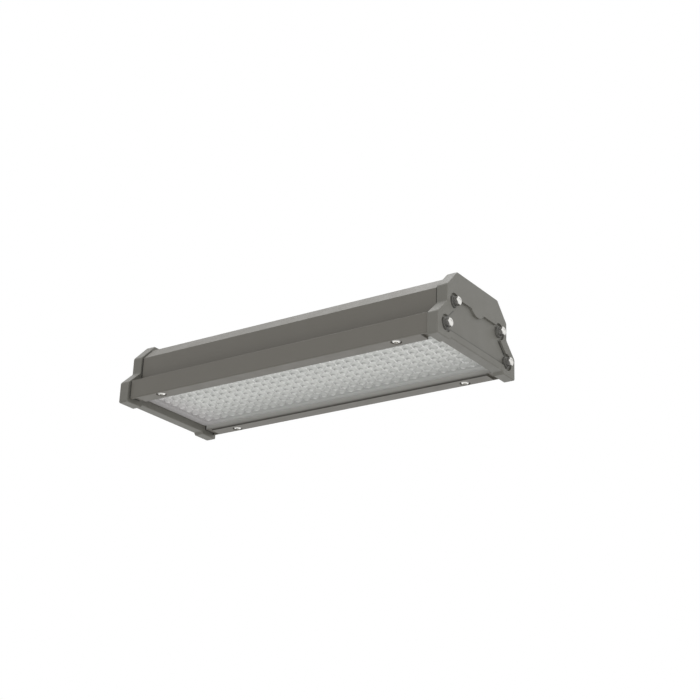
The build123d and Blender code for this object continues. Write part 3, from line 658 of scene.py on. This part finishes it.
def material_coordinates(material):
    """The three parts of a place on the object that carries a material."""
    tree = material.node_tree
    return coordinates(tree, tree.nodes["Texture Coordinate"].outputs["Object"])


def coat(piece, *names):
    """Gives a new piece its finishes."""
    for name in names:
        piece.data.materials.append(finish(name))


def dress(material, *nodes):
    """Gives CAD nodes their finish."""
    for node in nodes:
        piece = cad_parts[node]
        piece.data.materials.clear()
        piece.data.materials.append(material)


# Operators, one for each piece or group of like pieces

class HIGHBAY_OT_groups(bpy.types.Operator):
    """Builds the node groups that the finishes share"""
    bl_idname = "highbay.groups"
    bl_label = "Shared Effects"

    def execute(self, context):
        grain_group()
        line_group()
        glint_group(context.scene.highbay_lens)
        return {"FINISHED"}


class HIGHBAY_OT_housing(bpy.types.Operator):
    """Gives the extruded housing its powder coat with faint die lines, a painted reflection of the lenses on
    the lamp chamber's walls and a painted shadow along their lower edge
    """
    bl_idname = "highbay.housing"
    bl_label = "Housing"

    def execute(self, context):
        colours = context.scene.highbay_colours
        sizes = context.scene.highbay_caps
        paint_coat = finish("housing_powder_coat")
        tree = paint_coat.node_tree
        _, across, up = material_coordinates(paint_coat)
        middle = within(tree, across, sizes.chamber_reach)
        # Painted reflection of the lenses on the chamber's walls, stronger towards the lenses
        painted_lens_reflection = product(tree, middle, within(tree, up, sizes.chamber_top),
                      spread(tree, up, 0.2, 1.0, 4 * MM, 10 * MM))
        mix_in(paint_coat, painted_lens_reflection, colours.painted_lens_reflection)
        # Painted shadow along the lower edge of the chamber's walls, a darker copy of the housing paint
        edge = product(tree, middle, spread(tree, up, 1.0, 0.0, 4.4 * MM, 6.6 * MM))
        mix_in(paint_coat, edge, tinted(colours.housing, 0.4))
        dress(paint_coat, "housing")
        return {"FINISHED"}


class HIGHBAY_OT_caps(bpy.types.Operator):
    """Gives the cast end caps their powder coat with painted shade in its panels' creases, and their gaskets
    rubber
    """
    bl_idname = "highbay.caps"
    bl_label = "End Caps"

    def execute(self, context):
        paint_coat = finish("cap_powder_coat")
        self.crease(paint_coat, context.scene.highbay_caps, tinted(context.scene.highbay_colours.cap, 0.35))
        dress(paint_coat, "end_cap_right", "end_cap_left")
        dress(finish("gasket_rubber"), "cap_gasket_right", "cap_gasket_left")
        return {"FINISHED"}

    def crease(self, paint_coat, sizes, colour):
        """Painted shade in the crease on the sunk panel's floor, along its low edge and its two slanted
        shoulders.
        """
        tree = paint_coat.node_tree
        along, across, up = material_coordinates(paint_coat)
        foot = sizes.panel_low
        low = product(tree, spread(tree, up, 1.0, 0.0, foot + 1.6 * MM, foot + 3.4 * MM),
                      math_node(tree, "GREATER_THAN", up, foot))
        lean = math.atan2(sizes.slant_rise, sizes.slant_run)
        slant = math_node(tree, "ADD", product(tree, math_node(tree, "ABSOLUTE", across), math.sin(lean)),
                          product(tree, up, math.cos(lean)))
        edge = sizes.slant_y * math.sin(lean) + sizes.slant_z * math.cos(lean)
        half_rise = sizes.slant_rise / 2
        level = math_node(tree, "SUBTRACT", up, sizes.slant_z + half_rise)
        side = product(tree, spread(tree, slant, 0.0, 1.0, edge - 3 * MM, edge - 1.5 * MM),
                       math_node(tree, "LESS_THAN", slant, edge), within(tree, level, half_rise))
        depth = math_node(tree, "SUBTRACT", math_node(tree, "ABSOLUTE", along), sizes.panel_floor)
        mask = product(tree, math_node(tree, "MAXIMUM", low, side), within(tree, depth, 0.2 * MM),
                       within(tree, across, sizes.slant_y))
        # Lays the painted shade, a darker copy of the cap paint, over the crease
        mix_in(paint_coat, mask, colour)


class HIGHBAY_OT_cap_screws(bpy.types.Operator):
    """Models the hexagon cap screws with their spring washers"""
    bl_idname = "highbay.cap_screws"
    bl_label = "Cap Screws"

    def execute(self, context):
        sizes = context.scene.highbay_screws
        low = sizes.spring_height
        top = low + sizes.head_height
        corner = sizes.across_flats / math.sqrt(3)
        flat = sizes.across_flats / 2
        head = prism("head", sizes.across_flats, low, top)
        crown = turned("crown", [
            (flat * 0.97, low), (corner * 1.03, low + 0.25 * MM), (corner * 1.03, top - 0.8 * MM),
            (flat * 0.95, top), (flat * 0.62, top), (flat * 0.52, top - 0.3 * MM),
            (flat * 0.1, top - 0.3 * MM)])
        head = combine(head, crown, "INTERSECT")
        spring = self.spring_washer(sizes)
        thread = turned("thread", [(sizes.thread_radius, -sizes.thread_length), (sizes.thread_radius, low)])
        for part in (spring, thread):
            coat(part, "dark_zinc")
        # The head's crown keeps the plain zinc; its sides take the darker copy as painted shade
        coat(head, "bright_zinc", "dark_zinc")
        for face in head.data.polygons:
            face.material_index = 0 if face.normal.z > 0.3 else 1
        screw = join([head, spring, thread], "screw")
        _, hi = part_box("cap_screws")
        places = end_places(hi.x - top, cap_screw_points(sizes))
        settle(copies(screw, places, "cap_screw_set"), "bright_screw", "cap_screws")
        return {"FINISHED"}

    def spring_washer(self, sizes):
        """Split ring under the head."""
        inner = sizes.thread_radius + 0.1 * MM
        outer = sizes.spring_radius
        height = sizes.spring_height
        ring = turned("spring", [(inner, 0.0), (outer, 0.0), (outer, height), (inner, height)], ring=True)
        select_none()
        bpy.ops.mesh.primitive_cube_add(size=1.0, location=((inner + outer) / 2, 0.0, height / 2))
        slit = bpy.context.object
        slit.scale = (2 * (outer - inner), 0.5 * MM, 3 * height)
        slit.rotation_euler = (math.radians(25), 0.0, 0.0)
        fix_place()
        return soften(combine(ring, slit, "DIFFERENCE"), 0.1 * MM, 1)


class HIGHBAY_OT_cap_washers(bpy.types.Operator):
    """Models the bonded sealing washers under the cap screws"""
    bl_idname = "highbay.cap_washers"
    bl_label = "Sealing Washers"

    def execute(self, context):
        sizes = context.scene.highbay_screws
        rim = sizes.washer_radius
        thick = sizes.washer_thickness
        bore = sizes.thread_radius + 0.15 * MM
        ring = turned("washer", [
            (bore, 0.0), (rim - 0.45 * MM, 0.0), (rim - 0.1 * MM, 0.2 * MM), (rim, 0.65 * MM),
            (rim - 0.1 * MM, 1.1 * MM), (rim - 0.4 * MM, 1.3 * MM), (rim - 0.25 * MM, 1.45 * MM),
            (rim - 0.25 * MM, thick - 0.3 * MM), (rim - 0.55 * MM, thick), (bore, thick)], ring=True)
        coat(ring, "washer_rubber")
        _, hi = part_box("cap_washers")
        places = end_places(hi.x - thick, cap_screw_points(sizes))
        settle(copies(ring, places, "cap_washer_set"), "dark_washer", "cap_washers")
        return {"FINISHED"}


class HIGHBAY_OT_lens_plate(bpy.types.Operator):
    """Models the clear lens plate with a smooth dome over each diode"""
    bl_idname = "highbay.lens_plate"
    bl_label = "Lens Plate"

    def execute(self, context):
        sizes = context.scene.highbay_lens
        _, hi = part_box("lens_plate")
        field = hi.z - sizes.field_thickness
        half_x = sizes.columns * sizes.pitch / 2
        half_y = sizes.rows * sizes.pitch / 2
        plate = self.cell(sizes, (sizes.pitch / 2 - half_x, sizes.pitch / 2 - half_y, field))
        self.repeat(plate, sizes)
        bpy.ops.object.mode_set(mode="EDIT")
        pick("edges", lambda edge: edge.is_boundary)
        bottom = hi.z - sizes.plate_thickness
        wall_x, wall_y = half_x + sizes.field_margin, half_y + sizes.field_margin
        steps = [(wall_x, wall_y, field), (wall_x + sizes.draft, wall_y + sizes.draft, bottom + sizes.edge),
                 (wall_x + sizes.draft + sizes.edge, wall_y + sizes.draft + sizes.edge, bottom),
                 (hi.x - sizes.edge, hi.y - sizes.edge, bottom), (hi.x, hi.y, bottom + sizes.edge),
                 (hi.x, hi.y, hi.z - sizes.edge), (hi.x - sizes.edge, hi.y - sizes.edge, hi.z)]
        x, y, z = half_x, half_y, field
        for next_x, next_y, next_z in steps:
            draw_out(next_z - z)
            widen(next_x / x, next_y / y)
            x, y, z = next_x, next_y, next_z
        close_up()
        bpy.ops.object.mode_set(mode="OBJECT")
        plate.data.materials.append(clear_lens_material(context.scene.highbay_colours.lens))
        settle(plate, "clear_lens", "lens_plate")
        return {"FINISHED"}

    def cell(self, sizes, centre):
        """Square of the field with one dome in its middle, hanging down."""
        select_none()
        bpy.ops.mesh.primitive_grid_add(x_subdivisions=4, y_subdivisions=4, size=sizes.pitch, location=centre)
        plate = bpy.context.object
        plate.name = "lens_array"
        bpy.ops.object.mode_set(mode="EDIT")
        pick("verts", lambda vert: not vert.is_boundary)
        bpy.ops.mesh.delete(type="VERT")
        bpy.ops.mesh.primitive_circle_add(vertices=DOME_SIDES, radius=sizes.dome_radius, fill_type="NOTHING",
                                          location=centre)
        bpy.ops.mesh.select_mode(type="EDGE")
        bpy.ops.mesh.select_all(action="SELECT")
        bpy.ops.mesh.bridge_edge_loops()
        reach = sizes.dome_radius * 1.02
        pick("verts", lambda vert: vert.co.length < reach)
        radius, depth = sizes.dome_radius, 0.0
        for ring in range(1, DOME_RINGS + 1):
            share = 1 - ring / DOME_RINGS
            next_radius = max(sizes.dome_radius * share, SAME_POINT / 10)
            next_depth = sizes.dome_height * (1 - share ** 2)
            draw_out(depth - next_depth)
            widen(next_radius / radius, next_radius / radius, centre=centre)
            radius, depth = next_radius, next_depth
        bpy.ops.mesh.select_all(action="SELECT")
        bpy.ops.mesh.remove_doubles(threshold=SAME_POINT)
        bpy.ops.object.mode_set(mode="OBJECT")
        fix_place()
        return plate

    def repeat(self, plate, sizes):
        """Repeats the cell along and across the light."""
        step = sizes.pitch
        for count, offset in ((sizes.columns, (step, 0.0, 0.0)), (sizes.rows, (0.0, step, 0.0))):
            modify(plate, "ARRAY", count=count, use_relative_offset=False, use_constant_offset=True,
                   constant_offset_displace=offset, use_merge_vertices=True, merge_threshold=20 * SAME_POINT)


class HIGHBAY_OT_diodes(bpy.types.Operator):
    """Models the diodes, a framed light emitting face on each package"""
    bl_idname = "highbay.diodes"
    bl_label = "Diodes"

    def execute(self, context):
        sizes = context.scene.highbay_lens
        lo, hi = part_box("diodes")
        select_none()
        bpy.ops.mesh.primitive_cube_add(size=1.0, location=(0.0, 0.0, (lo.z + hi.z) / 2))
        package = bpy.context.object
        package.scale = (sizes.diode_side, sizes.diode_side, sizes.diode_height)
        fix_place()
        bpy.ops.object.mode_set(mode="EDIT")
        pick("edges", lambda edge: abs(edge.verts[0].co.z - edge.verts[1].co.z) > SAME_POINT)
        bpy.ops.mesh.bevel(offset=0.3 * MM, segments=1)
        pick("faces", lambda face: face.normal.z < -0.9)
        bpy.ops.mesh.inset(thickness=sizes.emitter_inset)
        draw_out(0.15 * MM)
        widen(0.9, 0.9)
        bpy.ops.object.mode_set(mode="OBJECT")
        coat(package, "diode_package", "diode_phosphor")
        reach = sizes.diode_side / 2 - sizes.emitter_inset
        for face in package.data.polygons:
            inside = max(abs(face.center.x), abs(face.center.y)) < reach * 0.5
            face.material_index = 1 if face.normal.z < -0.9 and inside else 0
        spots = [((i - (sizes.columns - 1) / 2) * sizes.pitch, (j - (sizes.rows - 1) / 2) * sizes.pitch, 0.0)
                 for j in range(sizes.rows) for i in range(sizes.columns)]
        settle(copies(package, upright_places(spots), "diode_set"), "pale_diode", "diodes")
        return {"FINISHED"}


class HIGHBAY_OT_chamber(bpy.types.Operator):
    """Gives the boards, pads and seal of the lamp chamber their finishes"""
    bl_idname = "highbay.chamber"
    bl_label = "Lamp Chamber"

    def execute(self, context):
        dress(board_material(context.scene.highbay_colours.board), "diode_board_front", "diode_board_back")
        dress(finish("silicone_pad"), "thermal_pads")
        dress(finish("gasket_rubber"), "lens_seal", "shelf_grommet")
        return {"FINISHED"}


class HIGHBAY_OT_flange_screws(bpy.types.Operator):
    """Models the button head screws in the flanges, with hexagon sockets"""
    bl_idname = "highbay.flange_screws"
    bl_label = "Flange Screws"

    def execute(self, context):
        sizes = context.scene.highbay_screws
        radius = sizes.button_radius
        tip = -sizes.button_height
        shank = sizes.thread_radius
        _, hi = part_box("flange_screws")
        head = turned("button", [
            (shank, hi.z - sizes.flange_seat), (shank, 0.0), (radius - 0.15 * MM, 0.0), (radius, -0.2 * MM),
            (radius, -0.7 * MM), (radius * 0.97, tip * 0.4), (radius * 0.88, tip * 0.62),
            (radius * 0.75, tip * 0.82), (radius * 0.6, tip * 0.94), (radius * 0.48, tip),
            (radius * 0.3, tip)])
        head = combine(head, prism("socket", sizes.socket, tip - MM, tip + sizes.socket_depth), "DIFFERENCE")
        coat(head, "bright_zinc")
        spots = [(end * sizes.flange_x, side * sizes.flange_y, sizes.flange_seat)
                 for end in (-1, 1) for side in (-1, 1)]
        settle(copies(head, upright_places(spots), "flange_screw_set"), "bright_screw", "flange_screws")
        return {"FINISHED"}


class HIGHBAY_OT_gland(bpy.types.Operator):
    """Models the cable gland's body and compression nut"""
    bl_idname = "highbay.gland"
    bl_label = "Cable Gland"

    def execute(self, context):
        sizes = context.scene.highbay_fittings
        base = sizes.top + sizes.gland_washer
        self.body(sizes, base)
        self.nut(sizes, base + sizes.gland_hex)
        dress(finish("black_nylon"), "gland_locknut", "vent_plug", "vent_locknut")
        dress(finish("gasket_rubber"), "gland_washer", "gland_seal")
        return {"FINISHED"}

    def set_down(self, piece, name, sizes, node):
        """Puts a finished part of the gland at its place."""
        piece = copies(piece, upright_places([(sizes.gland_x, sizes.side, 0.0)]), name)
        coat(piece, "black_nylon")
        settle(piece, "black_plastic", node)

    def body(self, sizes, base):
        """Hexagon of the body with its neck and shank."""
        corner = sizes.gland_flats / math.sqrt(3)
        flat = sizes.gland_flats / 2
        bore, shank, neck = 5.2 * MM, 8.0 * MM, 7.4 * MM
        lo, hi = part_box("gland_body")
        top = base + sizes.gland_hex
        crown = turned("crown", [(flat * 0.94, base), (corner * 1.02, base + 0.9 * MM),
                                 (corner * 1.02, top - 0.9 * MM), (flat * 0.94, top)])
        hexagon = combine(prism("hexagon", sizes.gland_flats, base, top), crown, "INTERSECT")
        tube = turned("tube", [(bore, lo.z), (shank, lo.z), (shank, base + 0.5 * MM), (neck, base + MM),
                               (neck, hi.z), (bore, hi.z)], ring=True)
        middle = turned("middle", [(6.5 * MM, base - MM), (6.5 * MM, top + MM)])
        hexagon = soften(combine(hexagon, middle, "DIFFERENCE"), 0.3 * MM)
        self.set_down(join([hexagon, tube], "body"), "gland_hexagon", sizes, "gland_body")

    def nut(self, sizes, base):
        """Compression nut: hexagon below, ribbed dome above, open in the middle."""
        corner = sizes.gland_flats / math.sqrt(3)
        flat = sizes.gland_flats / 2
        shoulder = base + sizes.nut_hex
        top = base + sizes.nut_height
        mouth = sizes.nut_mouth
        bore = 7.45 * MM
        outer = turned("crown", [
            (bore, base), (flat * 0.94, base), (corner * 1.02, base + 0.9 * MM),
            (corner * 1.02, shoulder - 0.8 * MM), (flat * 0.98, shoulder), (flat * 0.95, shoulder + 0.8 * MM),
            (flat * 0.86, top - 1.3 * MM),
            (mouth + 1.9 * MM, top - 0.3 * MM), (mouth + 1.3 * MM, top), (mouth + 0.4 * MM, top),
            (mouth, top - 0.4 * MM), (mouth, base + 6.1 * MM), (bore, base + 6.0 * MM)], ring=True)
        hexagon = prism("hexagon", sizes.gland_flats, base - MM, top + MM)
        nut = soften(combine(outer, hexagon, "INTERSECT"), 0.25 * MM)
        self.set_down(nut, "gland_cap_nut", sizes, "gland_nut")


class HIGHBAY_OT_inserts(bpy.types.Operator):
    """Models the threaded hanging inserts"""
    bl_idname = "highbay.inserts"
    bl_label = "Hanging Inserts"

    def execute(self, context):
        sizes = context.scene.highbay_fittings
        lo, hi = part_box("hanging_inserts")
        rim = sizes.insert_radius + sizes.insert_flange
        steps = [(sizes.insert_radius, lo.z), (sizes.insert_radius, sizes.top), (rim - 0.1 * MM, sizes.top),
                 (rim, sizes.top + 0.15 * MM), (rim, hi.z - 0.3 * MM), (rim - 0.35 * MM, hi.z),
                 (sizes.thread_major + 0.3 * MM, hi.z)]
        height = hi.z - 0.5 * MM
        while height - sizes.thread_pitch > lo.z:
            steps += [(sizes.thread_major, height), (sizes.thread_minor, height - sizes.thread_pitch * 0.45),
                      (sizes.thread_minor, height - sizes.thread_pitch * 0.55)]
            height -= sizes.thread_pitch
        steps.append((sizes.thread_major, lo.z))
        bush = turned("bush", steps, ring=True)
        coat(bush, "bright_zinc")
        spots = [(side * sizes.insert_x, 0.0, 0.0) for side in (-1, 1)]
        settle(copies(bush, upright_places(spots), "hanging_insert_set"), "bright_screw", "hanging_inserts")
        return {"FINISHED"}


class HIGHBAY_OT_compartment(bpy.types.Operator):
    """Gives the driver, the terminals and the wires inside the housing their finishes"""
    bl_idname = "highbay.compartment"
    bl_label = "Driver Compartment"

    def execute(self, context):
        for name, nodes in (
                ("plain_aluminium", ("driver_case", "driver_end_plates")),
                ("white_moulding", ("terminal_block", "feed_block")),
                ("wire_sheath", ("supply_wires", "feed_wires")),
                ("earth_sheath", ("earth_lead",)),
                ("tinned_copper", ("ring_terminal",)),
                ("bright_zinc", ("driver_screws", "terminal_screws", "earth_screw"))):
            dress(finish(name), *nodes)
        return {"FINISHED"}


class HIGHBAY_OT_stage(bpy.types.Operator):
    """Builds the floor, the plain studio light and the camera"""
    bl_idname = "highbay.stage"
    bl_label = "Stage"

    def execute(self, context):
        settings = context.scene.highbay_stage
        self.floor(settings)
        self.world(settings)
        for name, spot, target, sides in LAMPS:
            self.lamp(name + "_lamp", getattr(settings, name), spot, target, sides)
        self.camera(settings)
        context.scene.view_settings.view_transform = "Standard"
        return {"FINISHED"}

    def floor(self, settings):
        """Plain pale floor far below the hanging light."""
        select_none()
        bpy.ops.mesh.primitive_plane_add(size=settings.floor_size, location=(0.0, 0.0, settings.floor_level))
        floor = bpy.context.object
        floor.name = "studio_floor"
        coat(floor, "floor_paint")
        shader = finish("floor_paint").node_tree.nodes["Principled BSDF"]
        shader.inputs["Specular IOR Level"].default_value = 0.0

    def world(self, settings):
        """Even light from all round, with a white background for what the eye, gloss and glass see."""
        world = bpy.data.worlds.new("studio")
        bpy.context.scene.world = world
        world.use_nodes = True
        tree = world.node_tree
        tree.nodes.clear()
        path = tree.nodes.new("ShaderNodeLightPath")
        seen = math_node(tree, "MAXIMUM", path.outputs["Is Camera Ray"], path.outputs["Is Glossy Ray"])
        seen = math_node(tree, "MAXIMUM", seen, path.outputs["Is Transmission Ray"])
        white = (1.0, 1.0, 1.0, 1.0)
        light, shown = (add_node(tree, "ShaderNodeBackground", {"Strength": power, "Color": white})
                        for power in (settings.ambient, 1.0))
        mix = add_node(tree, "ShaderNodeMixShader", {0: seen, 1: light.outputs[0], 2: shown.outputs[0]})
        add_node(tree, "ShaderNodeOutputWorld", {"Surface": mix.outputs[0]})

    def lamp(self, name, power, spot, target, sides):
        """Rectangular lamp that faces a point and isn't seen by the camera itself."""
        data = bpy.data.lights.new(name, "AREA")
        data.shape = "RECTANGLE"
        data.size, data.size_y = sides
        data.energy = power
        lamp = bpy.data.objects.new(name, data)
        lamp.location = spot
        lamp.rotation_euler = (Vector(target) - Vector(spot)).to_track_quat("-Z", "Y").to_euler()
        lamp.visible_camera = False
        bpy.context.collection.objects.link(lamp)

    def camera(self, settings):
        """Camera low in front of the near cap, looking up at the lenses."""
        around, above = settings.azimuth, settings.elevation
        back = Vector((math.sin(around) * math.cos(above), -math.cos(around) * math.cos(above),
                       math.sin(above)))
        right = Vector((0.0, 0.0, 1.0)).cross(back).normalized()
        up = back.cross(right)
        turn, lean = math.cos(settings.roll), math.sin(settings.roll)
        axes = Matrix((turn * right + lean * up, turn * up - lean * right, back)).transposed().to_4x4()
        data = bpy.data.cameras.new("camera")
        data.sensor_width = 36.0
        data.lens = settings.focal
        camera = bpy.data.objects.new("camera", data)
        camera.matrix_world = Matrix.Translation(settings.camera_place) @ axes
        bpy.context.collection.objects.link(camera)
        bpy.context.scene.camera = camera


SETTING_GROUPS = {
    "highbay_lens": LensSizes,
    "highbay_screws": ScrewSizes,
    "highbay_caps": CapSizes,
    "highbay_fittings": FittingSizes,
    "highbay_colours": LightColours,
    "highbay_stage": StageSettings,
}

PIECE_OPERATORS = (
    HIGHBAY_OT_groups, HIGHBAY_OT_housing, HIGHBAY_OT_caps, HIGHBAY_OT_cap_screws, HIGHBAY_OT_cap_washers,
    HIGHBAY_OT_lens_plate, HIGHBAY_OT_diodes, HIGHBAY_OT_chamber, HIGHBAY_OT_flange_screws, HIGHBAY_OT_gland,
    HIGHBAY_OT_inserts, HIGHBAY_OT_compartment, HIGHBAY_OT_stage,
)


class HIGHBAY_PT_panel(bpy.types.Panel):
    """Sidebar panel with a button for each piece"""
    bl_idname = "HIGHBAY_PT_panel"
    bl_label = "High Bay Light"
    bl_space_type = "VIEW_3D"
    bl_region_type = "UI"
    bl_category = "High Bay"

    def draw(self, context):
        for operator in PIECE_OPERATORS:
            self.layout.operator(operator.bl_idname)
        for group in SETTING_GROUPS:
            settings = getattr(context.scene, group)
            box = self.layout.box()
            box.label(text=settings.bl_rna.name)
            for name in settings.__annotations__:
                box.prop(settings, name)


def register():
    """Registers the settings, operators and panel."""
    for name, group in SETTING_GROUPS.items():
        bpy.utils.register_class(group)
        setattr(bpy.types.Scene, name, bpy.props.PointerProperty(type=group))
    for operator in PIECE_OPERATORS:
        bpy.utils.register_class(operator)
    bpy.utils.register_class(HIGHBAY_PT_panel)


def unregister():
    """Takes the settings, operators and panel away again."""
    bpy.utils.unregister_class(HIGHBAY_PT_panel)
    for operator in reversed(PIECE_OPERATORS):
        bpy.utils.unregister_class(operator)
    for name, group in SETTING_GROUPS.items():
        delattr(bpy.types.Scene, name)
        bpy.utils.unregister_class(group)


def main():
    """Registers the add-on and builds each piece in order."""
    register()
    bpy.ops.highbay.groups()
    bpy.ops.highbay.housing()
    bpy.ops.highbay.caps()
    bpy.ops.highbay.cap_screws()
    bpy.ops.highbay.cap_washers()
    bpy.ops.highbay.lens_plate()
    bpy.ops.highbay.diodes()
    bpy.ops.highbay.chamber()
    bpy.ops.highbay.flange_screws()
    bpy.ops.highbay.gland()
    bpy.ops.highbay.inserts()
    bpy.ops.highbay.compartment()
    bpy.ops.highbay.stage()


if __name__ == "__main__":
    main()
